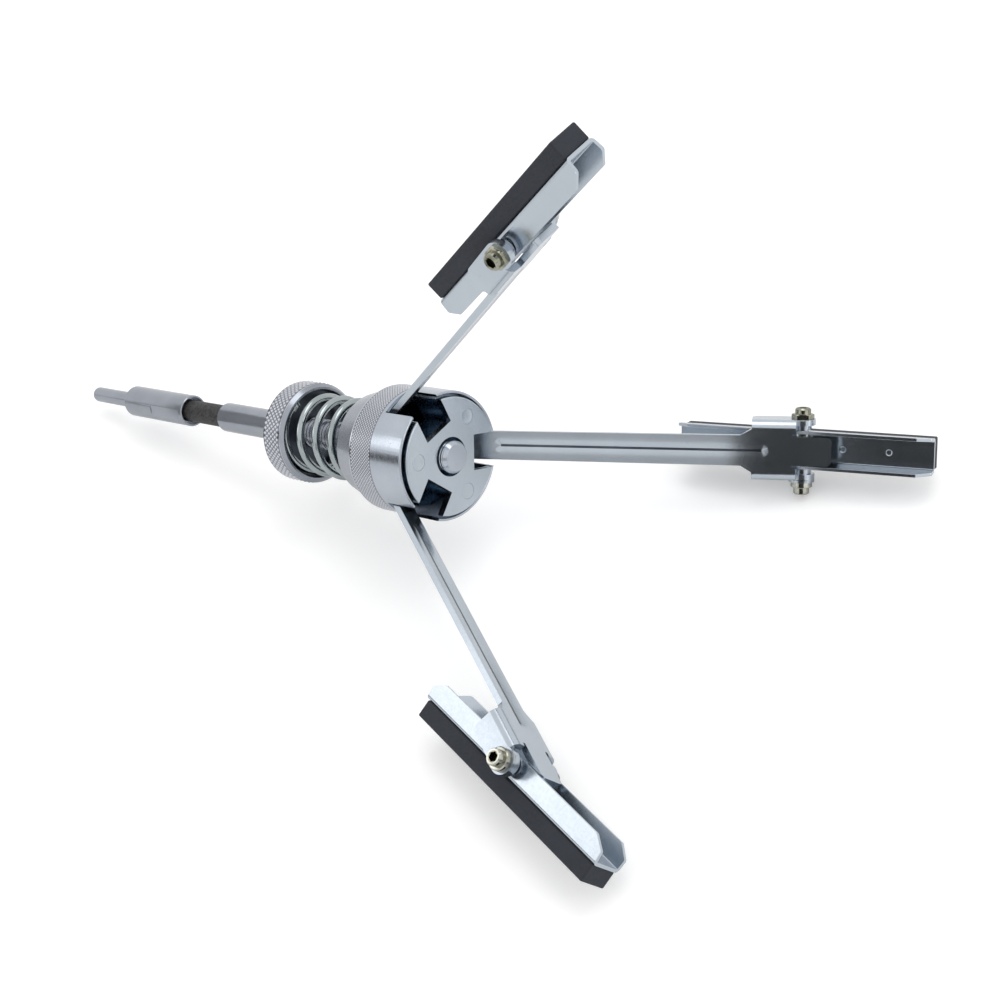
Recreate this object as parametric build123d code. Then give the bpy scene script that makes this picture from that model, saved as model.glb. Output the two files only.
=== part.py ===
from build123d import *
import math
import os

# A cylinder hone with three sprung stone arms, lying on a bench. All sizes are in millimetres.
#
# Every piece is built in the spindle's own frame: Z runs forward along the spindle from the front
# face of the front plate, X points away from the spindle through the first arm, and Y is across
# that arm. At the end the whole tool is laid on its shank tip and its two lower stones.

# The three arms
arm_azimuths = (0, 120, 240)
lobe_azimuths = (60, 180, 300)

# Clearances
running_gap = 0.05
sliding_gap = 0.1
side_gap = 0.3
stop_gap = 0.1
toe_gap = 0.12

# Main shaft, threaded under the adjusting nut
shaft_radius = 6.35
shaft_boss = 3.2
shaft_tail = 144.2
shaft_chamfer = 1.05

# Front plate, riveted on three posts
plate_radius = 23.2
plate_thickness = 3.0
plate_hole_radius = 7.7
plate_edge_round = 0.4
slot_width = 14.1
slot_floor = 12.1
post_circle = 17.0
post_radius = 4.0
post_tenon_radius = 3.2
post_tenon_depth = 5.0

# Hub cup, a turned shell with a knurled grip and a tapered skirt
cup_radius = 25.4
cup_wall = 1.2
cup_setback = 1.4
cup_rim_round = 0.55
knurl_start = 18.3
knurl_length = 12.9
knurl_drop = 0.3
skirt_front_radius = 24.2
skirt_wall = 2.15
skirt_length = 13.3
skirt_round = 0.8

# Hub core, the slotted spider inside the cup that carries the arm pins
core_radius = 21.0
core_front = 14.0
core_step = 22.0
web_length = 10.5
web_floor = 11.5
core_bore_radius = 13.0
drive_pin_radius = 1.5
drive_pin_inset = 0.5

# Arm pins, pressed across the core's slots
pin_radius = 2.0
pin_inset = 0.1
pin_cover = 4.3
pin_setback = 31.0
pin_wall = 2.0

# Arms, pressed from strip
arm_thickness = 2.3
arm_width = 11.2
arm_width_at_yoke = 12.0
arm_length = 148.4
arm_open_angle = 35.0
pin_height = 5.0
ear_radius = 3.4
ear_foot = 10.5
toe_lever = 7.5
bend_round = 0.6

# Stiffening groove along each arm
groove_width = 6.7
groove_depth = 0.8
groove_start = 27.0
groove_end = 12.3

# Yoke that holds the stone holder's pivot
pivot_height = 7.0
yoke_length = 19.4
yoke_bend = 3.4
yoke_ear_radius = 5.0
yoke_corner = 3.0
yoke_floor_end = 2.5
flare_length = 4.2
flare_width = 17.0
tongue_width = 11.2
tongue_reach = 11.1
tongue_corner = 2.0
notch_width = 1.2
notch_depth = 1.6

# Pivot screws, nuts and washers
screw_radius = 2.5
screw_head_radius = 4.25
screw_head_height = 5.0
screw_tip = 0.4
socket_flats = 4.0
socket_depth = 2.6
head_washer_radius = 5.0
head_washer_thickness = 1.0
nut_flats = 8.0
nut_height = 4.0
spacer_length = 1.95

# Stone holders, folded channels open towards the spindle
holder_front = 50.3
holder_rear = 51.1
holder_web_width = 13.2
holder_edge_width = 15.1
holder_height = 8.6
holder_wall = 1.25
holder_bend = 1.7
holder_pivot_depth = 5.0
holder_clip_length = 5.3
holder_clip_height = 3.5
holder_clip_round = 1.2
dimple_radius = 1.5
dimple_depth = 0.35
dimple_places = (15.0, 33.0)

# Honing stones, bonded on the holders
stone_front = 49.8
stone_rear = 50.2
stone_width = 12.5
stone_thickness = 6.8
stone_edge = 0.4

# Thrust collar that the spring presses on the arms' toes
collar_nose_radius = 12.5
collar_flange_thickness = 2.5
collar_pilot_gap = 0.35
collar_pilot_length = 4.0

# Spring, washer and adjusting nut
spring_radius = 17.25
wire_radius = 1.65
spring_pitch = 9.9
spring_start_angle = 0.0
washer_thickness = 1.5
nut_setback = 79.0
nut_length = 12.9
nut_front_chamfer = 1.5
nut_rear_chamfer = 0.8
dish_wall = 2.7
dish_gap = 0.95
dish_depth = 5.5

# Flexible drive shaft
cable_radius = 3.3
cable_depth = 15.0
cable_gap = 1.0
free_cable = 25.7
sleeve_radius = 4.9
sleeve_lap = 6.0
ferrule_radius = 7.0
ferrule_length = 47.4
ferrule_shoulder = 2.0
ferrule_lip = 0.4
mouth_wall = 0.8
mouth_depth = 4.0
crimp_radius = 6.7
crimp_length = 22.0
crimp_setback = 2.5
crimp_azimuth = 70.0
shank_radius = 3.5
shank_length = 32.2
shank_depth = 14.0
shank_tenon_radius = 2.9
shank_round = 2.6

# How the stone holders lie in their yokes: the upper one leans out like its arm, and the two lower
# ones lie level on the bench
upper_holder_lean = 33.2

# Places worked out from the sizes above, along the spindle
cup_front = -cup_setback
knurl_front = -knurl_start
knurl_rear = knurl_front - knurl_length
skirt_rear = knurl_rear - skirt_length
pin_z = -pin_setback
core_rear = pin_z - pin_radius - pin_wall
web_rear = -core_front - web_length
collar_front = pin_z - arm_thickness / 2 - toe_gap
collar_flange_front = core_rear - side_gap
spring_front = collar_flange_front - collar_flange_thickness
nut_front = -nut_setback
nut_rear = nut_front - nut_length
washer_rear = nut_front - dish_depth
spring_rear = washer_rear + washer_thickness
shaft_rear = -shaft_tail
ferrule_front = shaft_rear - free_cable
ferrule_rear = ferrule_front - ferrule_length
shank_rear = ferrule_rear - shank_length

# Bores and widths that take their size from what they hold
cup_bore_radius = cup_radius - cup_wall
chamber_radius = spring_radius + 3 * side_gap
skirt_rear_radius = chamber_radius + skirt_wall
collar_pilot_radius = spring_radius - 2 * wire_radius - collar_pilot_gap
core_slot_width = arm_width + 2 * side_gap
pin_circle = core_radius - pin_cover
pin_half_length = math.sqrt(core_radius**2 - (pin_circle + pin_radius) ** 2) - pin_inset
dish_radius = spring_radius + side_gap + dish_gap
nut_radius = dish_radius + dish_wall
arm_inner = -pin_height
arm_outer = arm_inner + arm_thickness
pivot_x = arm_inner + pivot_height
yoke_inner = holder_edge_width / 2 + sliding_gap + spacer_length
yoke_width = 2 * (yoke_inner + arm_thickness)
open_sin = math.sin(math.radians(arm_open_angle))
open_cos = math.cos(math.radians(arm_open_angle))
pivot_radius = pin_circle + arm_length * open_sin + pivot_x * open_cos
pivot_z = pin_z + arm_length * open_cos - pivot_x * open_sin
spacer_radius = pivot_height - yoke_bend
stone_face = holder_pivot_depth + stone_thickness


def turned(*points: tuple[float, float]) -> Part:
    """Turn a closed outline of (radius, place along the spindle) points round the spindle."""
    return revolve(Plane.XZ * make_face(Polyline(*points, close=True)), Axis.Z)


def round_bar(radius: float, low: float, high: float) -> Part:
    """A plain cylinder on the spindle from one place to another."""
    return Pos(0, 0, (low + high) / 2) * Cylinder(radius, high - low)


def block(x: tuple[float, float], y: tuple[float, float], z: tuple[float, float]) -> Part:
    """A box between two places along each axis."""
    middle = Pos((x[0] + x[1]) / 2, (y[0] + y[1]) / 2, (z[0] + z[1]) / 2)
    return middle * Box(x[1] - x[0], y[1] - y[0], z[1] - z[0])


def crossways(radius: float, left: float, right: float) -> Part:
    """A cylinder across an arm, from one place to another along Y."""
    return Pos(0, (left + right) / 2, 0) * Rot(90, 0, 0) * Cylinder(radius, right - left)


def side_plate(outline: Sketch, left: float, right: float) -> Part:
    """Raise an outline of (outwards, along the arm) points across an arm, between two places on Y."""
    return extrude(Plane.XZ.offset(-left) * outline, -(right - left))


def arm_slots(floor: float, width: float, low: float, high: float) -> Part:
    """Three radial slots with a flat floor, one for each arm, wider than the hub."""
    slot = block((floor, 2 * cup_radius), (-width / 2, width / 2), (low, high))
    return Part() + [Rot(0, 0, azimuth) * slot for azimuth in arm_azimuths]


def main_shaft() -> Part:
    """The shaft from its chamfered front boss to its bored rear end."""
    bar = turned(
        (0, shaft_rear),
        (shaft_radius - shaft_chamfer, shaft_rear),
        (shaft_radius, shaft_rear + shaft_chamfer),
        (shaft_radius, shaft_boss - shaft_chamfer),
        (shaft_radius - shaft_chamfer, shaft_boss),
        (0, shaft_boss),
    )
    socket = round_bar(cable_radius + running_gap, shaft_rear - 1, shaft_rear + cable_depth + cable_gap)
    return bar - socket - drive_pin()


def drive_pin() -> Part:
    """The cross pin that locks the hub core on the shaft."""
    half = web_floor - drive_pin_inset
    middle = -core_front - web_length / 2
    pin = Rot(0, 90, 0) * Cylinder(drive_pin_radius, 2 * half)
    return Rot(0, 0, lobe_azimuths[0]) * Pos(0, 0, middle) * pin


def plate_posts() -> Part:
    """Three shouldered posts, riveted into the core and through the front plate."""
    post = round_bar(post_radius, -core_front, -plate_thickness)
    tenons = round_bar(post_tenon_radius, -core_front - post_tenon_depth, 0)
    one = Pos(post_circle, 0, 0) * (post + tenons)
    return Part() + [Rot(0, 0, azimuth) * one for azimuth in lobe_azimuths]


def front_plate() -> Part:
    """The round plate with three open slots that the folded arms drop into."""
    disc = round_bar(plate_radius, -plate_thickness, 0)
    disc = fillet(disc.edges().filter_by(GeomType.CIRCLE).sort_by(Axis.Z)[-1], plate_edge_round)
    holes = round_bar(plate_hole_radius, -plate_thickness - 1, 1)
    return disc - holes - arm_slots(slot_floor, slot_width, -plate_thickness - 1, 1) - plate_posts()


def hub_cup() -> Part:
    """The outer shell: thin at the front, thick under the knurl, tapered round the spring."""
    grip_radius = cup_radius - knurl_drop
    shell = turned(
        (cup_bore_radius, cup_front),
        (cup_radius, cup_front),
        (cup_radius, knurl_front),
        (grip_radius, knurl_front),
        (grip_radius, knurl_rear),
        (skirt_front_radius, knurl_rear),
        (skirt_rear_radius, skirt_rear),
        (chamber_radius, skirt_rear),
        (chamber_radius, core_rear),
        (core_radius + running_gap, core_rear),
        (core_radius + running_gap, -core_step),
        (cup_bore_radius, -core_step),
    )
    front_edges = shell.edges().filter_by(GeomType.CIRCLE).group_by(Axis.Z)[-1]
    shell = fillet(front_edges, cup_rim_round)
    rear_edges = shell.edges().filter_by(GeomType.CIRCLE).group_by(Axis.Z)[0]
    shell = fillet(rear_edges.sort_by(SortBy.RADIUS)[-1], skirt_round)
    # The closed end of each side slot stops the open arm on the edge of the cup's bore
    face_z = pin_z - arm_outer * open_sin
    face_radius = pin_circle + arm_outer * open_cos
    edge_radius = math.sqrt(cup_bore_radius**2 - (arm_width_at_yoke / 2) ** 2)
    stop = face_z + (edge_radius - face_radius) * open_cos / open_sin - stop_gap / open_sin
    return shell - arm_slots(core_radius + side_gap, slot_width, stop, 1)


def hub_core() -> Part:
    """The slotted spider: a web fixed on the shaft and three lobes that hold the arm pins."""
    body = turned(
        (shaft_radius, -core_front),
        (core_radius, -core_front),
        (core_radius, core_rear),
        (core_bore_radius, core_rear),
        (core_bore_radius, web_rear),
        (shaft_radius, web_rear),
    )
    body = body - arm_slots(web_floor, core_slot_width, core_rear - 1, -core_front + 1)
    return body - arm_pins() - plate_posts() - drive_pin()


def arm_pins() -> Part:
    """The three pins that the arms swing on."""
    pin = Pos(pin_circle, 0, pin_z) * crossways(pin_radius, -pin_half_length, pin_half_length)
    return Part() + [Rot(0, 0, azimuth) * pin for azimuth in arm_azimuths]


def thrust_collar() -> Part:
    """The flanged collar between the spring and the arms' toes."""
    return turned(
        (shaft_radius + sliding_gap, collar_front),
        (collar_nose_radius, collar_front),
        (collar_nose_radius, collar_flange_front),
        (spring_radius + side_gap, collar_flange_front),
        (spring_radius + side_gap, spring_front),
        (collar_pilot_radius, spring_front),
        (collar_pilot_radius, spring_front - collar_pilot_length),
        (shaft_radius + sliding_gap, spring_front - collar_pilot_length),
    )


def compression_spring() -> Part:
    """A coil of round wire with ground ends, between the washer and the thrust collar."""
    low = spring_rear - wire_radius
    height = spring_front + wire_radius - low
    coil = Pos(0, 0, low) * Helix(spring_pitch, height, spring_radius - wire_radius)
    wire = sweep(Plane(coil @ 0, z_dir=coil % 0) * Circle(wire_radius), path=coil, is_frenet=True)
    return Rot(0, 0, spring_start_angle) * (wire & round_bar(spring_radius + 1, spring_rear, spring_front))


def spring_washer() -> Part:
    """The flat washer in the nut's dish that the spring turns on."""
    ring = round_bar(spring_radius + side_gap, washer_rear, spring_rear)
    return ring - round_bar(shaft_radius + sliding_gap, washer_rear - 1, spring_rear + 1)


def adjusting_nut() -> Part:
    """The round nut with a knurled rim and a dished front."""
    bore = shaft_radius + running_gap
    return turned(
        (bore, nut_rear),
        (nut_radius - nut_rear_chamfer, nut_rear),
        (nut_radius, nut_rear + nut_rear_chamfer),
        (nut_radius, nut_front - nut_front_chamfer),
        (nut_radius - nut_front_chamfer, nut_front),
        (dish_radius, nut_front),
        (dish_radius, washer_rear),
        (bore, washer_rear),
    )


def cable_core() -> Part:
    """The stiff wound cable between the main shaft and the rear ferrule."""
    return round_bar(cable_radius, ferrule_front - cable_depth, shaft_rear + cable_depth)


def cable_sleeve() -> Part:
    """The black sleeve over the free stretch of cable."""
    tube = round_bar(sleeve_radius, ferrule_front - sleeve_lap, shaft_rear)
    return tube - round_bar(cable_radius, ferrule_front - sleeve_lap - 1, shaft_rear + 1)


def rear_ferrule() -> Part:
    """The crimped ferrule that joins the cable and the drill shank."""
    mouth_radius = ferrule_radius - mouth_wall
    mouth_floor = ferrule_front - mouth_depth
    seat_radius = sleeve_radius + sliding_gap
    seat_floor = ferrule_front - sleeve_lap - side_gap
    cable_floor = ferrule_front - cable_depth - cable_gap
    bore = cable_radius + running_gap
    shell = turned(
        (0, ferrule_rear),
        (ferrule_radius - ferrule_shoulder, ferrule_rear),
        (ferrule_radius, ferrule_rear + ferrule_shoulder),
        (ferrule_radius, ferrule_front - ferrule_lip),
        (ferrule_radius - ferrule_lip, ferrule_front),
        (mouth_radius, ferrule_front),
        (mouth_radius, mouth_floor),
        (seat_radius, mouth_floor),
        (seat_radius, seat_floor),
        (bore, seat_floor),
        (bore, cable_floor),
        (0, cable_floor),
    )
    crimp_front = ferrule_front - crimp_setback
    crimp = block(
        (crimp_radius, ferrule_radius + 1),
        (-ferrule_radius, ferrule_radius),
        (crimp_front - crimp_length, crimp_front),
    )
    return shell - Rot(0, 0, crimp_azimuth) * crimp - drill_shank()


def drill_shank() -> Part:
    """The plain round shank that a drill's chuck holds, with a tenon set into the ferrule."""
    bar = round_bar(shank_radius, shank_rear, ferrule_rear)
    bar = fillet(bar.edges().filter_by(GeomType.CIRCLE).sort_by(Axis.Z)[0], shank_round)
    return bar + round_bar(shank_tenon_radius, shank_rear + shank_length / 2, ferrule_rear + shank_depth)


def toe_point(reach: float, rearwards: float) -> tuple[float, float]:
    """A point on the arm's toe, as (outwards, along the arm) from the arm pin.

    The toe stands square to the spindle when the arm is open.
    """
    outwards = -reach * open_cos + rearwards * open_sin
    along = -reach * open_sin - rearwards * open_cos
    return outwards, along


def arm_side() -> Sketch:
    """The arm from the side: a strip whose rear end is bent down into a rounded toe."""
    half = arm_thickness / 2
    rear_corner_reach = (half * open_sin - arm_outer) / open_cos
    front_corner_reach = (-half * open_sin - arm_inner) / open_cos
    rear_side = toe_point(toe_lever, half)
    front_side = toe_point(toe_lever, -half)
    tip = arm_length + tongue_reach
    outline = [
        Line((arm_inner, tip), (arm_outer, tip)),
        Line((arm_outer, tip), toe_point(rear_corner_reach, half)),
        Line(toe_point(rear_corner_reach, half), rear_side),
        ThreePointArc(rear_side, toe_point(toe_lever + half, 0), front_side),
        Line(front_side, toe_point(front_corner_reach, -half)),
        Line(toe_point(front_corner_reach, -half), (arm_inner, tip)),
    ]
    face = make_face(outline)
    rear_corner = face.vertices().sort_by_distance(Vector(*toe_point(rear_corner_reach, half)))[0]
    face = fillet(rear_corner, arm_thickness + bend_round)
    front_corner = face.vertices().sort_by_distance(Vector(*toe_point(front_corner_reach, -half)))[0]
    return fillet(front_corner, bend_round)


def arm_plan() -> Sketch:
    """The arm seen square on, as (across, along) points: strip, flare, yoke floor and tongue."""
    yoke_start = arm_length - yoke_length
    floor_end = arm_length - yoke_floor_end
    hub_end = -2 * toe_lever
    right = [
        (arm_width / 2, hub_end),
        (arm_width / 2, ear_foot),
        (arm_width_at_yoke / 2, yoke_start - flare_length),
        (flare_width / 2, yoke_start),
        (flare_width / 2, floor_end),
        (tongue_width / 2, floor_end),
        (tongue_width / 2, arm_length + tongue_reach),
    ]
    left = [(-across, along) for across, along in reversed(right)]
    face = make_face(Polyline(*right, *left, close=True))
    return fillet(face.vertices().group_by(Axis.Y)[-1], tongue_corner)


def hub_ears() -> Part:
    """The two ears at the hub end, in line with the strip's edges, that swing on the arm pin."""
    foot = Line((arm_inner + arm_thickness / 2, -ear_radius), (arm_inner + arm_thickness / 2, ear_foot))
    outline = make_hull([*Circle(ear_radius).edges(), foot])
    ears = side_plate(outline, -arm_width / 2, arm_width / 2)
    gap = arm_width / 2 - arm_thickness
    reach = 2 * ear_foot
    return ears - block((arm_outer, reach), (-gap, gap), (-reach, reach))


def yoke() -> Part:
    """The folded yoke: a floor, two large bends and two ears with rounded ends."""
    top = pivot_x + yoke_ear_radius
    half = yoke_width / 2
    outside = Pos((arm_inner + top) / 2, 0) * Rectangle(top - arm_inner, yoke_width)
    outside = fillet(outside.vertices().group_by(Axis.X)[0], yoke_bend)
    inside = Pos((arm_outer + top + 1) / 2, 0) * Rectangle(top + 1 - arm_outer, 2 * yoke_inner)
    inside = fillet(inside.vertices().group_by(Axis.X)[0], yoke_bend - arm_thickness)
    start = arm_length - yoke_length
    end = arm_length + yoke_ear_radius
    channel = extrude(Pos(0, 0, start) * (outside - inside), end - start)

    floor_end = arm_length - yoke_floor_end
    floor_part = Rectangle(top - arm_inner, floor_end - start)
    floor_part = Pos((arm_inner + top) / 2, (start + floor_end) / 2) * floor_part
    top_rear = floor_part.vertices().sort_by_distance(Vector(top, start))[0]
    floor_part = fillet(top_rear, yoke_corner)
    ear_top = Pos((pivot_x + top) / 2, arm_length - yoke_floor_end / 2)
    ear_top = ear_top * Rectangle(top - pivot_x, yoke_floor_end)
    ear_end = Pos(pivot_x, arm_length) * Circle(yoke_ear_radius)
    folded = channel & side_plate(floor_part + ear_top + ear_end, -half, half)
    # Past the end of the floor only the two ears are left
    return folded - block((arm_inner - 1, top + 1), (-yoke_inner, yoke_inner), (floor_end, end + 1))


def groove(surface: float, depth: float) -> Part:
    """A V with rounded ends along the strip, from its wide side at one height to its valley."""
    low = groove_start + groove_width / 2
    high = arm_length - groove_end - groove_width / 2
    half = groove_width / 2
    section = make_face(Polyline((surface, -half), (surface + depth, 0), (surface, half), close=True))
    run = extrude(Pos(0, 0, low) * section, high - low)
    end = Pos(surface + depth / 2, 0, 0) * Rot(0, 90, 0) * Cone(half, 0, depth)
    return run + Pos(0, 0, low) * end + Pos(0, 0, high) * end


def arm() -> Part:
    """One arm in its own frame: X outwards, Y across and Z along the strip from the arm pin."""
    flat = side_plate(arm_side(), -yoke_width / 2, yoke_width / 2)
    plan = extrude(Plane.YZ.offset(-2 * toe_lever) * arm_plan(), 3 * toe_lever)
    body = (flat & plan) + hub_ears() + yoke()
    body = body + groove(arm_outer, groove_depth) - groove(arm_inner, groove_depth)
    body = body - crossways(pin_radius + running_gap, -arm_width, arm_width)
    screw_hole = crossways(screw_radius, -yoke_width, yoke_width)
    body = body - Pos(pivot_x, 0, arm_length) * screw_hole
    floor_end = arm_length - yoke_floor_end
    notch = block(
        (arm_inner - 1, arm_outer + 1),
        (tongue_width / 2, tongue_width / 2 + notch_width),
        (floor_end - notch_depth, floor_end + 1),
    )
    return body - notch - mirror(notch, Plane.XZ)


def pivot_screw() -> Part:
    """A socket cap screw across the yoke, centred on the stone holder's pivot."""
    seat = -yoke_width / 2 - head_washer_thickness
    shank = crossways(screw_radius, seat, yoke_width / 2 + nut_height + screw_tip)
    head = crossways(screw_head_radius, seat - screw_head_height, seat)
    hexagon = RegularPolygon(socket_flats / 2, 6, major_radius=False)
    socket = side_plate(hexagon, seat - screw_head_height, seat - screw_head_height + socket_depth)
    return shank + head - socket


def pivot_nut() -> Part:
    """The hexagon nut on the pivot screw."""
    hexagon = RegularPolygon(nut_flats / 2, 6, major_radius=False) - Circle(screw_radius)
    return side_plate(hexagon, yoke_width / 2, yoke_width / 2 + nut_height)


def head_washer() -> Part:
    """The washer under the screw's head."""
    ring = Circle(head_washer_radius) - Circle(screw_radius)
    return side_plate(ring, -yoke_width / 2 - head_washer_thickness, -yoke_width / 2)


def pivot_spacers() -> Part:
    """The two spacers that keep the stone holder in the middle of the yoke."""
    ring = Circle(spacer_radius) - Circle(screw_radius)
    spacer = side_plate(ring, yoke_inner - spacer_length, yoke_inner)
    return Part() + [spacer, mirror(spacer, Plane.XZ)]


def stone_holder() -> Part:
    """One folded channel, centred on its pivot: X outwards, Y across and Z forward."""
    web_x = holder_pivot_depth
    edge_x = web_x - holder_height
    half_web = holder_web_width / 2
    half_edge = holder_edge_width / 2
    lean = math.atan((half_edge - half_web) / holder_height)
    wall = holder_wall / math.cos(lean)
    inner_half_web = half_web + holder_wall * math.tan(lean) - wall
    inner_half_edge = half_edge - wall
    outside = make_face(
        Polyline((web_x, -half_web), (web_x, half_web), (edge_x, half_edge), (edge_x, -half_edge), close=True)
    )
    outside = fillet(outside.vertices().group_by(Axis.X)[-1], holder_bend)
    inside = make_face(
        Polyline(
            (web_x - holder_wall, -inner_half_web),
            (web_x - holder_wall, inner_half_web),
            (edge_x, inner_half_edge),
            (edge_x - 1, inner_half_edge),
            (edge_x - 1, -inner_half_edge),
            (edge_x, -inner_half_edge),
            close=True,
        )
    )
    inside = fillet(inside.vertices().group_by(Axis.X)[-1], holder_bend - holder_wall)
    length = holder_front + holder_rear
    channel = extrude(Pos(0, 0, -holder_rear) * (outside - inside), length)

    clip_x = edge_x + holder_clip_height
    side = make_face(
        Polyline(
            (web_x, -holder_rear),
            (web_x, holder_front),
            (clip_x, holder_front),
            (edge_x, holder_front - holder_clip_length),
            (edge_x, holder_clip_length - holder_rear),
            (clip_x, -holder_rear),
            close=True,
        )
    )
    side = fillet(side.vertices().filter_by(lambda v: v.X < web_x - 0.5), holder_clip_round)
    channel = channel & side_plate(side, -holder_edge_width, holder_edge_width)

    channel = channel - crossways(screw_radius + running_gap, -holder_edge_width, holder_edge_width)
    dent_x = web_x - holder_wall + dimple_depth / 2
    dent = Pos(dent_x, 0, 0) * Rot(0, 90, 0) * Cone(dimple_radius, dimple_radius / 2, dimple_depth)
    return channel - [Pos(0, 0, place) * dent for place in dimple_places]


def stone() -> Part:
    """One abrasive stick on the outside of its holder's web."""
    stick = block(
        (holder_pivot_depth, stone_face), (-stone_width / 2, stone_width / 2), (-stone_rear, stone_front)
    )
    return chamfer(stick.edges(), stone_edge)


def bench_tilt() -> float:
    """The spindle's slope, in radians, with the shank tip and both lower stones on the bench.

    A stone lies level when the tangent of its lean is twice that of the slope, as the lower arms
    point 60 degrees to each side of straight down.
    """
    half_down = math.cos(math.radians(60))
    across_down = math.sin(math.radians(60)) * stone_width / 2
    tip_z = shank_rear + shank_round
    slope = 0.1
    for _ in range(40):
        lean = math.atan(math.tan(slope) / half_down)
        stone_drop = half_down * pivot_radius + stone_face * half_down * math.cos(lean) + across_down
        rise = math.tan(slope) * stone_face * math.sin(lean)
        tip_drop = shank_radius - shank_round + shank_round / math.cos(slope)
        slope = math.atan((stone_drop + rise - tip_drop) / (pivot_z - tip_z))
    return slope


def holder_leans() -> tuple[float, float, float]:
    """Each stone holder's lean away from the spindle, in degrees: upper, lower and lower."""
    level = math.degrees(math.atan(math.tan(bench_tilt()) / math.cos(math.radians(60))))
    return upper_holder_lean, level, level


def spindle_pieces() -> dict[str, Part]:
    """Every piece by its node's name, in the spindle's frame."""
    pieces = {
        "main_shaft": main_shaft(),
        "hub_cup": hub_cup(),
        "hub_core": hub_core(),
        "front_plate": front_plate(),
        "plate_posts": plate_posts(),
        "arm_pins": arm_pins(),
        "drive_pin": drive_pin(),
        "thrust_collar": thrust_collar(),
        "compression_spring": compression_spring(),
        "spring_washer": spring_washer(),
        "adjusting_nut": adjusting_nut(),
        "cable_core": cable_core(),
        "cable_sleeve": cable_sleeve(),
        "rear_ferrule": rear_ferrule(),
        "drill_shank": drill_shank(),
    }
    arm_parts = {"arm": arm()}
    yoke_parts = {
        "pivot_screw": pivot_screw(),
        "pivot_nut": pivot_nut(),
        "head_washer": head_washer(),
        "pivot_spacers": pivot_spacers(),
    }
    holder_parts = {"stone_holder": stone_holder(), "honing_stone": stone()}
    for number, (azimuth, lean) in enumerate(zip(arm_azimuths, holder_leans()), start=1):
        around = Rot(0, 0, azimuth)
        at_pin = around * Pos(pin_circle, 0, pin_z) * Rot(0, arm_open_angle, 0)
        at_pivot = around * Pos(pivot_radius, 0, pivot_z)
        for name, piece in arm_parts.items():
            pieces[f"{name}_{number}"] = at_pin * piece
        for name, piece in yoke_parts.items():
            pieces[f"{name}_{number}"] = at_pivot * Rot(0, arm_open_angle, 0) * piece
        for name, piece in holder_parts.items():
            pieces[f"{name}_{number}"] = at_pivot * Rot(0, lean, 0) * piece
    return pieces


def lying_down(pieces: dict[str, Part]) -> Location:
    """Lay the spindle along X, front end raised, with the origin under the middle of the tool."""
    slope = bench_tilt()
    forward = (math.cos(slope), 0, math.sin(slope))
    upwards = (-math.sin(slope), 0, math.cos(slope))
    laid = Plane(origin=(0, 0, 0), x_dir=upwards, z_dir=forward).location
    box = Compound(children=[laid * piece for piece in pieces.values()]).bounding_box()
    middle = box.center()
    return Pos(-middle.X, -middle.Y, -box.min.Z) * laid


def main() -> None:
    """Write each piece where it lies on the bench."""
    os.makedirs("parts", exist_ok=True)
    pieces = spindle_pieces()
    place = lying_down(pieces)
    for name, piece in pieces.items():
        export_step(place * piece, f"parts/{name}.step")


if __name__ == "__main__":
    main()
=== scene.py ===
"""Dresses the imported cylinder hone: zinc plating, knurls, thread, spring, stones and a studio."""

import logging
import math
from collections.abc import Callable, Iterator
from contextlib import contextmanager
from dataclasses import dataclass
from enum import Enum

import bmesh
import bpy
from mathutils import Matrix, Vector


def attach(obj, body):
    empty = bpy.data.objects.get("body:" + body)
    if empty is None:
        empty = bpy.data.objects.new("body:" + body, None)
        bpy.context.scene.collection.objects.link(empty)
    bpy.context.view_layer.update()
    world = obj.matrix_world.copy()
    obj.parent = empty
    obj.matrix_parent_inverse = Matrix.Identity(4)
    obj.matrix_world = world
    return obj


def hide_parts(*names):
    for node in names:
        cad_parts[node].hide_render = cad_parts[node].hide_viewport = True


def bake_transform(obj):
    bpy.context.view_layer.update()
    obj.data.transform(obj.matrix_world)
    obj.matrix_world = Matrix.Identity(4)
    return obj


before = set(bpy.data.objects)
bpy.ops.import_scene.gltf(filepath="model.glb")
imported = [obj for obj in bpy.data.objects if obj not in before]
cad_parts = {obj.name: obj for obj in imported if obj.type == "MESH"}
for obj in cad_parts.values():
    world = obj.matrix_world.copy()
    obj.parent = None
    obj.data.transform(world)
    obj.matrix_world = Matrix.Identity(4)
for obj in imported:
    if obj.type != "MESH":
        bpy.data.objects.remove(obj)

log = logging.getLogger("cylinder_hone")

Point = tuple[float, float, float]
Outline = list[tuple[float, float]]
Piece = bpy.types.Object
Edge = bmesh.types.BMEdge
Face = bmesh.types.BMFace
Socket = bpy.types.NodeSocket

MM = 0.001
SMOOTH_ANGLE = 32.0
LONG_EDGE = 60 * MM
LARGE_FACE = 40 * MM**2

# The spindle's frame in the row frame: Z forward from the front plate's face, X up through the upper arm.
SLOPE = math.radians(10.092767)
PLATE_CENTRE = Vector((49.8124, 0.0, 52.7414)) * MM
SPINDLE = Matrix(
    (
        (-math.sin(SLOPE), 0, math.cos(SLOPE), PLATE_CENTRE.x),
        (0, -1, 0, PLATE_CENTRE.y),
        (math.cos(SLOPE), 0, math.sin(SLOPE), PLATE_CENTRE.z),
        (0, 0, 0, 1),
    )
)


class Arm(Enum):
    """The three arms, each with its number in the frame's names and its turn round the spindle."""

    UPPER = (1, 0.0)
    LEFT = (2, 120.0)
    RIGHT = (3, 240.0)

    @property
    def number(self) -> int:
        """The arm's number in the frame's names."""
        return self.value[0]

    @property
    def azimuth(self) -> Matrix:
        """The arm's turn round the spindle."""
        return Matrix.Rotation(math.radians(self.value[1]), 4, "Z")


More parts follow.
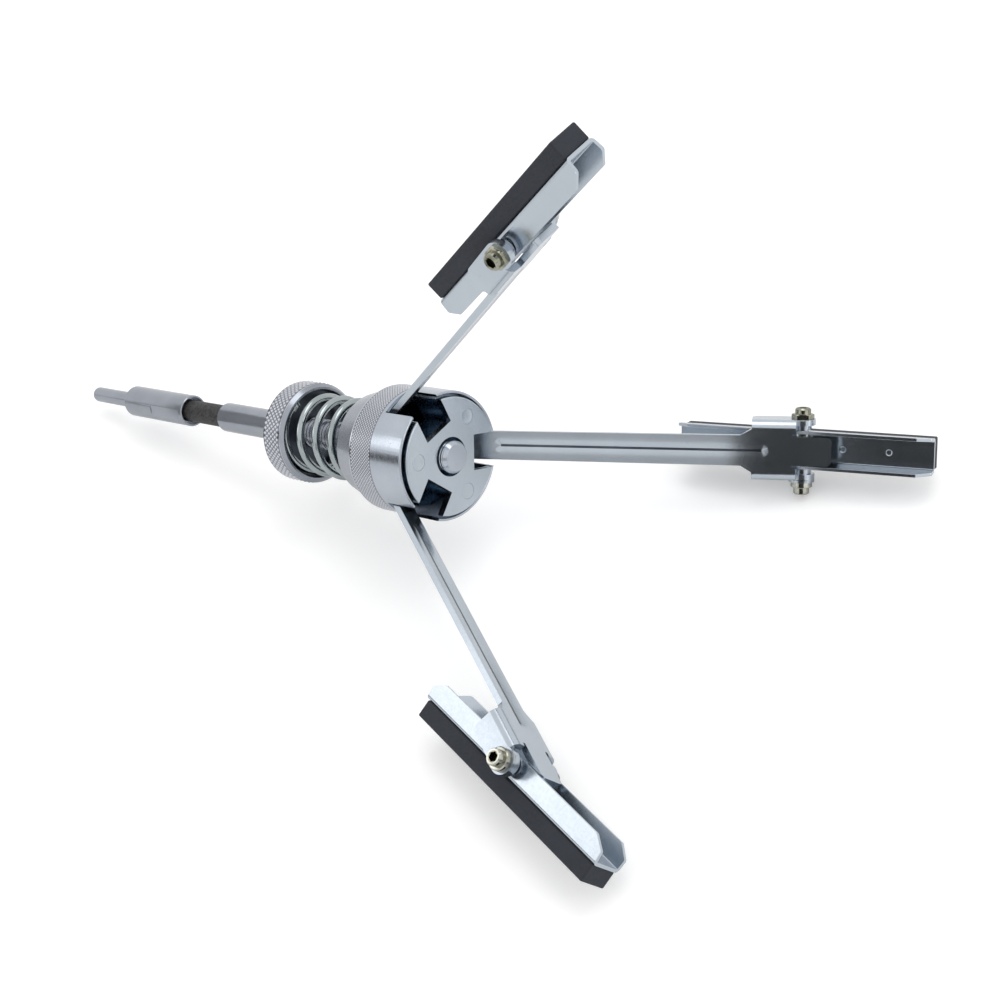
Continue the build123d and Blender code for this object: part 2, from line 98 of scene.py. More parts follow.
class Kind(Enum):
    """What a selection is made of, by Blender's select mode and the mesh's own list."""

    EDGE = "edges"
    FACE = "faces"


def radius_height(point: Vector) -> tuple[float, float]:
    """A point's distance from the Z axis and its height, in millimetres."""
    return point.xy.length / MM, point.z / MM


def middle_of(face: Face) -> tuple[float, float]:
    """How far the middle of a placed piece's face is off the spindle's axis, and where along it."""
    return radius_height(SPINDLE.inverted() @ face.calc_center_median())


def off_flat(point: Vector) -> float:
    """A point's turn from the middle of the nearest side of a hexagon round Z, in radians."""
    side = math.pi / 3
    return (math.atan2(point.y, point.x) + side / 2) % side - side / 2


def start_fresh() -> None:
    """Leave edit mode and select nothing."""
    if bpy.context.object and bpy.context.object.mode != "OBJECT":
        bpy.ops.object.mode_set(mode="OBJECT")
    bpy.ops.object.select_all(action="DESELECT")


def pick(piece: Piece) -> None:
    """Make one piece the active and only selected one.

    Args:
        piece: The piece.
    """
    start_fresh()
    piece.select_set(True)
    bpy.context.view_layer.objects.active = piece


@contextmanager
def editing(piece: Piece) -> Iterator[None]:
    """Keep a piece in edit mode for a while.

    Args:
        piece: The piece, which stays the active one.
    """
    pick(piece)
    bpy.ops.object.mode_set(mode="EDIT")
    yield
    bpy.ops.object.mode_set(mode="OBJECT")


def select_where(piece: Piece, kind: Kind, wanted: Callable[..., bool]) -> int:
    """Select the edges or the faces of a piece in edit mode by a test.

    Args:
        piece: The piece.
        kind: Whether edges or faces are selected.
        wanted: Tells of an edge or a face whether it is selected.

    Returns:
        How many are selected.
    """
    bpy.ops.mesh.select_mode(type=kind.name)
    bpy.ops.mesh.select_all(action="DESELECT")
    mesh = bmesh.from_edit_mesh(piece.data)
    found = [element for element in getattr(mesh, kind.value) if wanted(element)]
    for element in found:
        element.select_set(True)
    mesh.select_flush_mode()
    bmesh.update_edit_mesh(piece.data)
    return len(found)


def is_fold(edge: Edge) -> bool:
    """Whether an edge is a slight fold between two large faces.

    Args:
        edge: An edge of a piece in edit mode.

    Returns:
        True for a fold of 8 to 32 degrees.
    """
    faces = edge.link_faces
    large = len(faces) == 2 and min(face.calc_area() for face in faces) > LARGE_FACE
    return large and 8 < math.degrees(edge.calc_face_angle(0)) < SMOOTH_ANGLE


def is_long_valley(edge: Edge) -> bool:
    """Whether an edge runs along the bottom of a long shallow groove."""
    return edge.calc_length() > LONG_EDGE and -40 < math.degrees(edge.calc_face_angle_signed(0)) < -20


def shade_smooth(degrees: float) -> None:
    """Shade the active piece smooth, apart from the edges that turn more than some degrees."""
    bpy.ops.object.shade_smooth_by_angle(angle=math.radians(degrees))


def soften_edges(piece: Piece, width: float, angle: float = 30.0, folds: bool = False) -> None:
    """Round a piece's sharp edges with an applied bevel, and shade it smooth between sharp ones.

    Args:
        piece: The piece to round.
        width: Bevel width in millimetres.
        angle: Edges that turn more than this, in degrees, are rounded.
        folds: True keeps slight folds between large faces sharp.
    """
    pick(piece)
    bevel = piece.modifiers.new("edge_round", "BEVEL")
    bevel.width = width * MM
    bevel.segments = 2
    bevel.limit_method = "ANGLE"
    bevel.angle_limit = math.radians(angle)
    bevel.miter_outer = "MITER_ARC"
    bevel.use_clamp_overlap = True
    bpy.ops.object.modifier_apply(modifier=bevel.name)
    shade_smooth(SMOOTH_ANGLE)
    if folds:
        with editing(piece):
            select_where(piece, Kind.EDGE, is_fold)
            bpy.ops.mesh.mark_sharp()
    flat = piece.modifiers.new("flat_faces", "WEIGHTED_NORMAL")
    flat.keep_sharp = True
    flat.weight = 100
    bpy.ops.object.modifier_apply(modifier=flat.name)


def set_down(piece: Piece, place: Matrix, smooth: float | None = None) -> None:
    """Put a finished piece at its place by moving its mesh, so that the object stays at the origin.

    Args:
        piece: The piece, made round the origin.
        place: Its place in the row frame.
        smooth: The angle in degrees up to which its edges are shaded smooth, or None where that is done.
    """
    pick(piece)
    if smooth is not None:
        shade_smooth(smooth)
    piece.matrix_world = place @ piece.matrix_world
    bpy.ops.object.transform_apply(location=True, rotation=True, scale=True)


def lathe(name: str, outline: Outline, segments: int = 64, closed: bool = True) -> Piece:
    """Turn an outline round Z, as rings that are extruded and scaled one after another.

    Args:
        name: The piece's name.
        outline: (radius, height) points in millimetres, none on the axis.
        segments: Facets round the piece.
        closed: True joins the last ring to the first, as on a tube, and False caps both ends.

    Returns:
        The piece, standing on its axis at the origin.
    """
    start_fresh()
    radius, height = outline[0]
    bpy.ops.mesh.primitive_circle_add(vertices=segments, radius=radius * MM, fill_type="NOTHING")
    piece = bpy.context.object
    piece.name = piece.data.name = name
    bpy.ops.object.mode_set(mode="EDIT")
    bpy.ops.mesh.select_all(action="SELECT")
    bpy.ops.transform.translate(value=(0, 0, height * MM))
    if not closed:
        bpy.ops.mesh.edge_face_add()
        select_where(piece, Kind.EDGE, lambda edge: True)
    for next_radius, next_height in outline[1:] + (outline[:1] if closed else []):
        rise = (0, 0, (next_height - height) * MM)
        bpy.ops.mesh.extrude_edges_move(TRANSFORM_OT_translate={"value": rise})
        if next_radius != radius:
            grow = next_radius / radius
            bpy.ops.transform.resize(value=(grow, grow, 1), center_override=(0, 0, 0))
        radius, height = next_radius, next_height
    if not closed:
        bpy.ops.mesh.edge_face_add()
    bpy.ops.mesh.select_all(action="SELECT")
    bpy.ops.mesh.remove_doubles(threshold=1e-6)
    bpy.ops.mesh.normals_make_consistent(inside=False)
    bpy.ops.object.mode_set(mode="OBJECT")
    return piece


def cut_knurl(piece: Piece, radius: float, low: float, high: float, rows: int, depth: float) -> None:
    """Cut a diamond knurl into a turned band.

    The band is cut in square cells, the cells become diamonds, and each diamond is raised to a point. The
    attribute "crest" is 0 in the valleys and 1 on the points and on the rest of the piece; the finish paints
    shade into the valleys by it.

    Args:
        piece: A lathed piece on the Z axis with one ring of faces over the band.
        radius: The band's radius in millimetres, the knurl's valleys.
        low: The band's lower end.
        high: The band's upper end.
        rows: Diamonds along the band.
        depth: Height of the points over the valleys.
    """
    margin = 0.02

    def in_band(point: Vector) -> bool:
        """Whether a point lies on the band."""
        out, height = radius_height(point)
        return low - margin < height < high + margin and abs(out - radius) < depth

    def runs_along(edge: Edge) -> bool:
        """Whether an edge crosses the band from end to end."""
        a, b = (vertex.co for vertex in edge.verts)
        return in_band(a) and in_band(b) and abs(a.z - b.z) / MM > (high - low) / 2

    def is_cell(face: Face) -> bool:
        """Whether a face lies on the band."""
        return all(in_band(vertex.co) for vertex in face.verts)

    def is_cell_edge(edge: Edge) -> bool:
        """Whether an edge is a side of the first square cells, inside the band."""
        a, b = edge.verts
        inside = low + margin < (a.co.z + b.co.z) / 2 / MM < high - margin
        return a.index < corners and b.index < corners and inside and in_band(a.co) and in_band(b.co)

    with editing(piece):
        select_where(piece, Kind.EDGE, runs_along)
        bpy.ops.mesh.subdivide(number_cuts=rows - 1)
        corners = len(bmesh.from_edit_mesh(piece.data).verts)
        cells = select_where(piece, Kind.FACE, is_cell)
        bpy.ops.mesh.poke(offset=0)
        bmesh.from_edit_mesh(piece.data).verts.index_update()
        select_where(piece, Kind.EDGE, is_cell_edge)
        bpy.ops.mesh.dissolve_edges(use_verts=False)
        select_where(piece, Kind.FACE, lambda face: len(face.verts) == 4 and is_cell(face))
        bpy.ops.mesh.poke(offset=depth * MM)
    crest = piece.data.attributes.new("crest", "FLOAT", "POINT")
    for vertex, value in zip(piece.data.vertices, crest.data):
        low_point = in_band(vertex.co) and vertex.co.xy.length / MM < radius + depth / 2
        value.value = 0.0 if low_point else 1.0
    log.info("%s: knurl of %d cells", piece.name, cells)


def wind(name: str, profile: Outline, pitch: float, turns: float, steps: int) -> Piece:
    """Wind a closed profile round Z into a helix, as a thread or a coil.

    Args:
        name: The piece's name.
        profile: (radius, height) points of the section in millimetres.
        pitch: Rise of one turn.
        turns: Number of turns.
        steps: Facets in a turn.

    Returns:
        The closed helix, starting at angle 0 and height 0.
    """
    start_fresh()
    bpy.ops.mesh.primitive_circle_add(vertices=len(profile), radius=MM, fill_type="NOTHING")
    piece = bpy.context.object
    piece.name = piece.data.name = name
    for vertex, (radius, height) in zip(piece.data.vertices, profile):
        vertex.co = (radius * MM, 0, height * MM)
    screw = piece.modifiers.new("helix", "SCREW")
    screw.angle = 2 * math.pi * turns
    screw.steps = screw.render_steps = max(3, round(steps * turns))
    screw.screw_offset = pitch * turns * MM
    screw.use_smooth_shade = False
    bpy.ops.object.modifier_apply(modifier=screw.name)
    middle = pitch * turns / 2 * MM
    with editing(piece):
        for lower in (True, False):
            select_where(
                piece, Kind.EDGE, lambda edge: edge.is_boundary and (edge.verts[0].co.z < middle) == lower
            )
            bpy.ops.mesh.edge_face_add()
        bpy.ops.mesh.select_all(action="SELECT")
        bpy.ops.mesh.normals_make_consistent(inside=False)
    return piece


class NodeSheet:
    """Adds and links nodes in one node tree, from left to right."""

    def __init__(self, tree: bpy.types.NodeTree) -> None:
        """Start from an empty tree."""
        self.tree = tree
        self.column = 0
        tree.nodes.clear()

    def add(self, kind: str, inputs: dict | None = None, **settings: object) -> bpy.types.Node:
        """Add a node.

        Args:
            kind: The node's Blender type.
            inputs: Values, or sockets to link from, by input name or number.
            settings: The node's own properties.

        Returns:
            The new node.
        """
        node = self.tree.nodes.new(kind)
        node.location = (self.column, 0)
        self.column += 190
        for key, value in settings.items():
            setattr(node, key, value)
        for key, value in (inputs or {}).items():
            if isinstance(value, Socket):
                self.tree.links.new(value, node.inputs[key])
            else:
                node.inputs[key].default_value = value
        return node

    def place(self) -> Socket:
        """Read Object coordinates."""
        return self.add("ShaderNodeTexCoord").outputs["Object"]

    def noise(self, at: Socket, scale: float | Socket, detail: float = 2.0, rough: float = 0.5) -> Socket:
        """Make a noise of a scale, a detail and a roughness."""
        inputs = {"Vector": at, "Scale": scale, "Detail": detail, "Roughness": rough}
        return self.add("ShaderNodeTexNoise", inputs).outputs["Fac"]

    def remap(self, value: Socket, low: float, high: float, first: float = 0.0, last: float = 1.0) -> Socket:
        """Stretch the values from low to high over those from first to last."""
        inputs = {"Value": value, "From Min": low, "From Max": high, "To Min": first, "To Max": last}
        return self.add("ShaderNodeMapRange", inputs).outputs["Result"]

    def work_out(self, operation: str, first: Socket, second: float | Socket) -> Socket:
        """Work out one sum from two values."""
        return self.add("ShaderNodeMath", {0: first, 1: second}, operation=operation).outputs["Value"]

    def mix(self, share: Socket, first: Point | Socket, second: Point | Socket) -> Socket:
        """Mix two colours, from the first at a share of 0 to the second at 1."""
        ends = [(*colour, 1.0) if isinstance(colour, tuple) else colour for colour in (first, second)]
        return self.add("ShaderNodeMix", {0: share, 6: ends[0], 7: ends[1]}, data_type="RGBA").outputs[2]

    def bump(self, height: Socket, strength: float, relief: float) -> Socket:
        """Turn heights into a normal, with a relief in millimetres."""
        inputs = {"Height": height, "Strength": strength, "Distance": relief * MM}
        return self.add("ShaderNodeBump", inputs).outputs["Normal"]

    def effect(self, name: str, amounts: dict[str, float] | None = None) -> bpy.types.NodeOutputs:
        """Place a shared effect on Object coordinates, with this material's own amounts."""
        inputs = {"Position": self.place(), **(amounts or {})}
        return self.add("ShaderNodeGroup", inputs, node_tree=bpy.data.node_groups[name]).outputs

    def take_in(self, amounts: dict[str, float]) -> bpy.types.NodeOutputs:
        """Give a group its inputs.

        Args:
            amounts: Float inputs with their defaults, after the vector Position.

        Returns:
            The inputs as the group's nodes read them.
        """
        self.tree.interface.new_socket("Position", in_out="INPUT", socket_type="NodeSocketVector")
        for name, value in amounts.items():
            socket = self.tree.interface.new_socket(name, in_out="INPUT", socket_type="NodeSocketFloat")
            socket.default_value = value
        return self.add("NodeGroupInput").outputs

    def put_out(self, values: dict[str, Socket]) -> None:
        """Give a group its outputs.

        Args:
            values: What each output gives, by its name.
        """
        for name in values:
            self.tree.interface.new_socket(name, in_out="OUTPUT", socket_type="NodeSocketFloat")
        self.add("NodeGroupOutput", values)


def plating_group() -> None:
    """Make the effect of uneven plating: soft clouds, a fine mottle and rare dark specks."""
    sheet = NodeSheet(bpy.data.node_groups.new("plating", "ShaderNodeTree"))
    given = sheet.take_in({"Cloud Size": 60.0, "Mottle Size": 900.0, "Specks": 0.5})
    at = given["Position"]
    cloud = sheet.noise(at, given["Cloud Size"], 3.0)
    mottle = sheet.noise(at, given["Mottle Size"], 4.0, 0.65)
    cells = sheet.add("ShaderNodeTexVoronoi", {"Vector": at, "Scale": 330.0, "Randomness": 1.0}).outputs
    near = sheet.remap(cells["Distance"], 0.06, 0.11, 1.0, 0.0)
    lot = sheet.add("ShaderNodeSeparateColor", {"Color": cells["Color"]}).outputs["Red"]
    dot = sheet.work_out("MULTIPLY", near, sheet.work_out("GREATER_THAN", lot, 0.9))
    speck = sheet.work_out("MULTIPLY", dot, given["Specks"])
    height = sheet.work_out("SUBTRACT", mottle, speck)
    sheet.put_out({"Cloud": cloud, "Mottle": mottle, "Speck": speck, "Height": height})


def grit_group() -> None:
    """Make the effect of bonded abrasive: packed grains, pores and a soft change of tone."""
    sheet = NodeSheet(bpy.data.node_groups.new("grit", "ShaderNodeTree"))
    given = sheet.take_in({"Grain Size": 2600.0})
    at = given["Position"]
    cells = sheet.add("ShaderNodeTexVoronoi", {"Vector": at, "Scale": given["Grain Size"]}).outputs
    grain = sheet.add("ShaderNodeSeparateColor", {"Color": cells["Color"]}).outputs["Red"]
    tone = sheet.noise(at, 70.0, 5.0, 0.6)
    pores = sheet.remap(sheet.noise(at, 1500.0, 3.0), 0.3, 0.42, 1.0, 0.0)
    height = sheet.work_out("SUBTRACT", grain, pores)
    sheet.put_out({"Grain": grain, "Tone": tone, "Height": height})


@dataclass(frozen=True)
class Recipe:
    """How a finish is made: a material whose shader takes what the finish's own nodes give."""

    name: str

    def inputs(self, sheet: NodeSheet) -> dict[str, object]:
        """Add the finish's nodes and give the shader's inputs."""
        raise NotImplementedError

    def make(self) -> bpy.types.Material:
        """Build the material.

        Returns:
            The new material.
        """
        material = bpy.data.materials.new(self.name)
        material.use_nodes = True
        sheet = NodeSheet(material.node_tree)
        shader = sheet.add("ShaderNodeBsdfPrincipled", self.inputs(sheet))
        sheet.add("ShaderNodeOutputMaterial", {"Surface": shader.outputs["BSDF"]})
        return material


@dataclass(frozen=True)
class MetalFinish(Recipe):
    """A plated or plain metal: two tones in soft clouds, an uneven gloss and rare dark specks."""

    bright: Point
    dull: Point
    gloss_low: float
    gloss_high: float
    relief: float = 0.02
    cloud_size: float = 55.0
    mottle_size: float = 800.0
    specks: float = 0.5
    speck_tone: Point = (0.12, 0.12, 0.12)
    knurled: bool = False
    # Painted shade in the knurl's valleys.
    valley: Point = (0.21, 0.22, 0.25)

    def inputs(self, sheet: NodeSheet) -> dict[str, object]:
        """Lay the plating over the metal, with painted shade in the valleys where it is knurled.

        Args:
            sheet: The material's nodes.

        Returns:
            The shader's inputs.
        """
        amounts = {"Cloud Size": self.cloud_size, "Mottle Size": self.mottle_size, "Specks": self.specks}
        plating = sheet.effect("plating", amounts)
        tone = sheet.mix(sheet.remap(plating["Cloud"], 0.35, 0.65), self.dull, self.bright)
        tone = sheet.mix(plating["Speck"], tone, self.speck_tone)
        if self.knurled:
            crest = sheet.add("ShaderNodeAttribute", attribute_name="crest").outputs["Fac"]
            # Painted shade: where crest is low, the tone darkens towards the valley colour.
            tone = sheet.mix(sheet.remap(crest, 0.05, 0.6), self.valley, tone)
        return {
            "Base Color": tone,
            "Metallic": 1.0,
            "Roughness": sheet.remap(plating["Mottle"], 0.3, 0.7, self.gloss_low, self.gloss_high),
            "Normal": sheet.bump(plating["Height"], 1.0, self.relief),
        }


@dataclass(frozen=True)
class StoneFinish(Recipe):
    """Charcoal abrasive with grains that catch the light."""

    dark: Point = (0.009, 0.012, 0.019)
    light: Point = (0.032, 0.039, 0.055)
    relief: float = 0.05

    def inputs(self, sheet: NodeSheet) -> dict[str, object]:
        """Pack the grains.

        Args:
            sheet: The material's nodes.

        Returns:
            The shader's inputs.
        """
        grit = sheet.effect("grit")
        share = sheet.work_out("MULTIPLY", grit["Grain"], grit["Tone"])
        return {
            "Base Color": sheet.mix(share, self.dark, self.light),
            "Roughness": sheet.remap(grit["Grain"], 0.0, 1.0, 0.55, 0.85),
            "Normal": sheet.bump(grit["Height"], 0.8, self.relief),
        }


@dataclass(frozen=True)
class SleeveFinish(Recipe):
    """The matt black covering of the flexible cable, with a fine uneven grain."""

    dark: Point = (0.006, 0.006, 0.007)
    light: Point = (0.05, 0.05, 0.052)
    grain_size: float = 1900.0
    relief: float = 0.08

    def inputs(self, sheet: NodeSheet) -> dict[str, object]:
        """Lay the covering's grain.

        Args:
            sheet: The material's nodes.

        Returns:
            The shader's inputs.
        """
        grit = sheet.effect("grit", {"Grain Size": self.grain_size})
        return {
            "Base Color": sheet.mix(grit["Grain"], self.dark, self.light),
            "Roughness": 0.62,
            "Normal": sheet.bump(grit["Height"], 0.7, self.relief),
        }


@dataclass(frozen=True)
class FloorFinish(Recipe):
    """A matt and nearly white floor, lifted towards white for the camera alone."""

    def inputs(self, sheet: NodeSheet) -> dict[str, object]:
        """Lay the floor's slight change of tone.

        Args:
            sheet: The material's nodes.

        Returns:
            The shader's inputs.
        """
        camera = sheet.add("ShaderNodeLightPath").outputs["Is Camera Ray"]
        return {
            "Base Color": sheet.remap(sheet.noise(sheet.place(), 3.0), 0.0, 1.0, 0.9, 0.93),
            "Roughness": 0.9,
            "Specular IOR Level": 0.0,
            "Emission Color": (1.0, 1.0, 1.0, 1.0),
            "Emission Strength": sheet.remap(camera, 0.0, 1.0, 0.0, 0.22),
        }


@dataclass(frozen=True)
class CardFinish(Recipe):
    """A matt grey card."""

    tone: float

    def inputs(self, sheet: NodeSheet) -> dict[str, object]:
        """Give the card its plain grey."""
        grey = (self.tone, self.tone, self.tone, 1.0)
        return {"Base Color": grey, "Roughness": 1.0, "Specular IOR Level": 0.0}


class Finish(Enum):
    """The hone's finishes and painted shades, each with its recipe."""

    ZINC = MetalFinish("turned_zinc_plating", (0.48, 0.52, 0.575), (0.41, 0.45, 0.505), 0.17, 0.24, 0.002)
    KNURLED_ZINC = MetalFinish(
        "knurled_zinc_plating", (0.68, 0.70, 0.75), (0.60, 0.62, 0.67), 0.16, 0.24, 0.003, knurled=True
    )
    # Painted shade: a near-black zinc laid on the nut's dish, the spring washer and the strip's groove
    # valley.
    RECESS_ZINC = MetalFinish(
        "shadowed_recess_zinc", (0.11, 0.125, 0.15), (0.06, 0.07, 0.085), 0.26, 0.40, 0.003
    )
    # A darker zinc, partly painted shade: the shaft and the thread behind the hub are darker where they lie
    # in shade.
    SHAFT_ZINC = MetalFinish("drawn_shaft_zinc", (0.345, 0.37, 0.415), (0.30, 0.32, 0.36), 0.18, 0.26, 0.002)
    PRESSED_ZINC = MetalFinish(
        "pressed_zinc_plating", (0.51, 0.56, 0.615), (0.48, 0.53, 0.585), 0.19, 0.25, 0.003, specks=0.4
    )
    SPRING_ZINC = MetalFinish(
        "spring_zinc_plating", (0.41, 0.45, 0.465), (0.32, 0.36, 0.37), 0.09, 0.16, 0.002
    )
    YELLOW_ZINC = MetalFinish(
        "yellow_passivated_nuts", (0.40, 0.40, 0.33), (0.17, 0.17, 0.13), 0.10, 0.20, 0.004, cloud_size=260.0
    )
    SCREW_STEEL = MetalFinish(
        "bright_screw_steel", (0.62, 0.62, 0.55), (0.33, 0.33, 0.28), 0.10, 0.20, 0.004, cloud_size=200.0
    )
    # Painted shade: near-black steel inside the hexagon sockets.
    SOCKET_STEEL = MetalFinish(
        "shadowed_socket_steel", (0.10, 0.10, 0.06), (0.05, 0.05, 0.03), 0.26, 0.40, 0.004
    )
    BLUED_STEEL = MetalFinish("blued_hub_steel", (0.055, 0.11, 0.18), (0.02, 0.04, 0.07), 0.2, 0.36, 0.006)
    CABLE_STEEL = MetalFinish("wound_cable_steel", (0.3, 0.3, 0.3), (0.2, 0.2, 0.2), 0.3, 0.5)
    STONE = StoneFinish("charcoal_abrasive")
    SLEEVE = SleeveFinish("black_covering")

    @property
    def material(self) -> bpy.types.Material:
        """The finish's material, once it is made."""
        return bpy.data.materials[self.value.name]


def dress(piece: Piece, finish: Finish) -> None:
    """Give a piece its main finish."""
    piece.data.materials.clear()
    piece.data.materials.append(finish.material)


def paint_faces(piece: Piece, finish: Finish, wanted: Callable[[Face], bool]) -> None:
    """Give some faces of a dressed piece one more finish.

    Args:
        piece: The piece.
        finish: The finish laid on the faces, at some calls painted shade.
        wanted: Tells of a face whether it gets the finish.
    """
    piece.data.materials.append(finish.material)
    with editing(piece):
        piece.active_material_index = len(piece.data.materials) - 1
        found = select_where(piece, Kind.FACE, wanted)
        bpy.ops.object.material_slot_assign()
    log.info("%s: %d faces in %s", piece.name, found, finish.value.name)


def hand_over(piece: Piece, finish: Finish, body: str, node: str | None) -> None:
    """Dress a piece, make it ride on its body and stand for the node that it replaces.

    Args:
        piece: The piece in its place.
        finish: Its main finish.
        body: The body that carries it.
        node: The CAD node that it stands for, or None beside a piece that already does.
    """
    dress(piece, finish)
    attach(piece, body)
    if node:
        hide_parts(node)
    log.info("%s rides on %s, %d faces", piece.name, body, len(piece.data.polygons))


def hand_between(
    piece: Piece,
    finish: Finish,
    bodies: tuple[str, str],
    node: str,
) -> None:
    """Dress a piece, fix its place in its mesh and hide the CAD node that it stands for.

    Args:
        piece: The piece in its place.
        finish: Its finish.
        bodies: The bodies at its start and at its end, named only in the log.
        node: The CAD node that it stands for.
    """
    dress(piece, finish)
    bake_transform(piece)
    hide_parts(node)
    log.info("%s changes between %s and %s", piece.name, *bodies)


def rounded_copy(
    node: str,
    name: str,
    width: float,
    finish: Finish,
    body: str,
    angle: float = 30.0,
    crease: float = 0.0,
) -> Piece:
    """Copy a CAD node's mesh into a new piece whose sharp edges are rounded, and hand it over.

    Args:
        node: The CAD node, which itself is left alone.
        name: The new piece's name.
        width: Bevel width in millimetres.
        finish: The piece's main finish.
        body: The body that carries it.
        angle: Edges that turn more than this, in degrees, are rounded.
        crease: Width in millimetres of the flat that long valleys get. With 0 they and all folds are smooth.

    Returns:
        The new piece in the row frame.
    """
    start_fresh()
    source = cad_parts[node]
    piece = bpy.data.objects.new(name, source.data.copy())
    piece.data.name = name
    bpy.context.collection.objects.link(piece)
    piece.matrix_world = source.matrix_world.copy()
    pick(piece)
    bpy.ops.object.transform_apply(location=True, rotation=True, scale=True)
    with editing(piece):
        bpy.ops.mesh.select_all(action="SELECT")
        bpy.ops.mesh.remove_doubles(threshold=2e-6)
        bpy.ops.mesh.dissolve_limited(angle_limit=math.radians(1.0))
        if crease > 0:
            select_where(piece, Kind.EDGE, is_long_valley)
            bpy.ops.mesh.bevel(offset=crease / 2 * MM, segments=1)
    soften_edges(piece, width, angle, folds=crease > 0)
    hand_over(piece, finish, body, node)
    return piece


@dataclass
class Spindle:
    """The shaft with its thread, the hub and the pieces fixed on it.

    Sizes are in millimetres, and places along the spindle are forward of the front plate's face.
    """

    shaft_radius: float = 6.35
    shaft_front: float = 3.2
    shaft_rear: float = -144.2
    chamfer: float = 1.05
    bore: float = 3.35
    bore_depth: float = 16.0
    boss_rear: float = -4.0
    boss_rings: int = 5
    ring_pitch: float = 1.25
    ring_groove: float = 0.28
    thread_root: float = 5.5
    thread_crest: float = 6.3
    thread_front: float = -36.5
    thread_rear: float = -98.0
    thread_pitch: float = 1.954
    thread_end: float = 1.2
    undercut_slope: float = 0.8
    grip_radius: float = 25.14
    grip_inside: float = 25.0
    grip_front: float = -18.4
    grip_rear: float = -31.1
    grip_rim: float = 0.5
    skirt_front: float = -31.3
    skirt_radius: float = 19.9
    post_circle: float = 17.0

    def build(self) -> None:
        """Build and dress everything that rides on the hub."""
        self.shaft()
        self.thread()
        self.cup()
        rounded_copy("front_plate", "front_plate_disc", 0.22, Finish.PRESSED_ZINC, "hub")
        self.rivets()
        for node in ("hub_core", "arm_pins", "drive_pin", "thrust_collar"):
            dress(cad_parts[node], Finish.BLUED_STEEL)

    def shaft(self) -> None:
        """Turn the shaft: a bored rear end, an undercut for the thread and a chamfered boss with rings."""
        radius, groove = self.shaft_radius, self.shaft_radius - self.ring_groove
        outline = [
            (self.bore, self.shaft_rear + self.bore_depth),
            (self.bore, self.shaft_rear),
            (radius - self.chamfer, self.shaft_rear),
            (radius, self.shaft_rear + self.chamfer),
            (radius, self.thread_rear),
            (self.thread_root, self.thread_rear + self.undercut_slope),
            (self.thread_root, self.thread_front - self.undercut_slope),
            (radius, self.thread_front),
            (radius, self.boss_rear),
        ]
        for ring in range(self.boss_rings):
            start = self.boss_rear + ring * self.ring_pitch
            outline += [(groove, start + 0.35), (radius, start + 0.7), (radius, start + self.ring_pitch)]
        outline[-1] = (radius - self.chamfer, self.shaft_front)
        shaft = lathe("main_shaft_turned", outline, segments=72, closed=False)
        soften_edges(shaft, 0.12)
        set_down(shaft, SPINDLE)
        # The shaft behind the boss is darker, partly painted shade; the boss keeps the brighter zinc.
        hand_over(shaft, Finish.SHAFT_ZINC, "hub", "main_shaft")
        paint_faces(shaft, Finish.ZINC, lambda face: middle_of(face)[1] > self.boss_rear - 0.5)

    def thread(self) -> None:
        """Wind the thread's ridge over the undercut."""
        root, crest, half = self.thread_root - 0.1, self.thread_crest, self.thread_pitch / 2 - 0.12
        profile = [(root, -half), (crest, -0.18), (crest, 0.18), (root, half)]
        length = self.thread_front - self.thread_rear - 2 * self.thread_end
        turns = length / self.thread_pitch
        ridge = wind("main_shaft_thread", profile, self.thread_pitch, turns, steps=40)
        start = Matrix.Translation((0, 0, (self.thread_rear + self.thread_end) * MM))
        set_down(ridge, SPINDLE @ start, smooth=SMOOTH_ANGLE)
        # The thread between the coils is darker, partly painted shade.
        hand_over(ridge, Finish.SHAFT_ZINC, "hub", None)

    def cup(self) -> None:
        """Round the cup's edges and put the knurl on its grip."""
        cup = rounded_copy("hub_cup", "hub_cup_shell", 0.18, Finish.ZINC, "hub")
        paint_faces(cup, Finish.SHAFT_ZINC, self.on_skirt)
        valley, inside, rear, front = self.grip_radius, self.grip_inside, self.grip_rear, self.grip_front
        low, high = rear + self.grip_rim, front - self.grip_rim
        outline = [(inside, rear), *((valley, along) for along in (rear, low, high, front)), (inside, front)]
        grip = lathe("hub_cup_knurl", outline, segments=116)
        cut_knurl(grip, valley, low, high, rows=8, depth=0.25)
        set_down(grip, SPINDLE, smooth=12)
        hand_over(grip, Finish.KNURLED_ZINC, "hub", None)

    def on_skirt(self, face: Face) -> bool:
        """Whether a face of the cup lies on the tapered skirt behind the knurl."""
        radius, along = middle_of(face)
        return along < self.skirt_front and radius > self.skirt_radius

    def rivets(self) -> None:
        """Turn the three posts with dished, rounded heads that fill the plate's holes."""
        outline = [
            (0.6, -0.05), (2.3, -0.05), (2.75, 0.0), (3.08, -0.01), (3.19, -0.1), (3.2, -3.0),
            (4.0, -3.0), (4.0, -14.0), (3.2, -14.0), (3.2, -19.0), (0.6, -19.0),
        ]
        out = Matrix.Translation((self.post_circle * MM, 0, 0))
        posts = []
        for turn in (60, 180, 300):
            post = lathe(f"plate_post_{turn}", outline, segments=36, closed=False)
            place = SPINDLE @ Matrix.Rotation(math.radians(turn), 4, "Z") @ out
            set_down(post, place, smooth=SMOOTH_ANGLE)
            posts.append(post)
        for post in posts:
            post.select_set(True)
        bpy.context.view_layer.objects.active = posts[0]
        bpy.ops.object.join()
        posts[0].name = posts[0].data.name = "plate_posts_riveted"
        hand_over(posts[0], Finish.PRESSED_ZINC, "hub", "plate_posts")


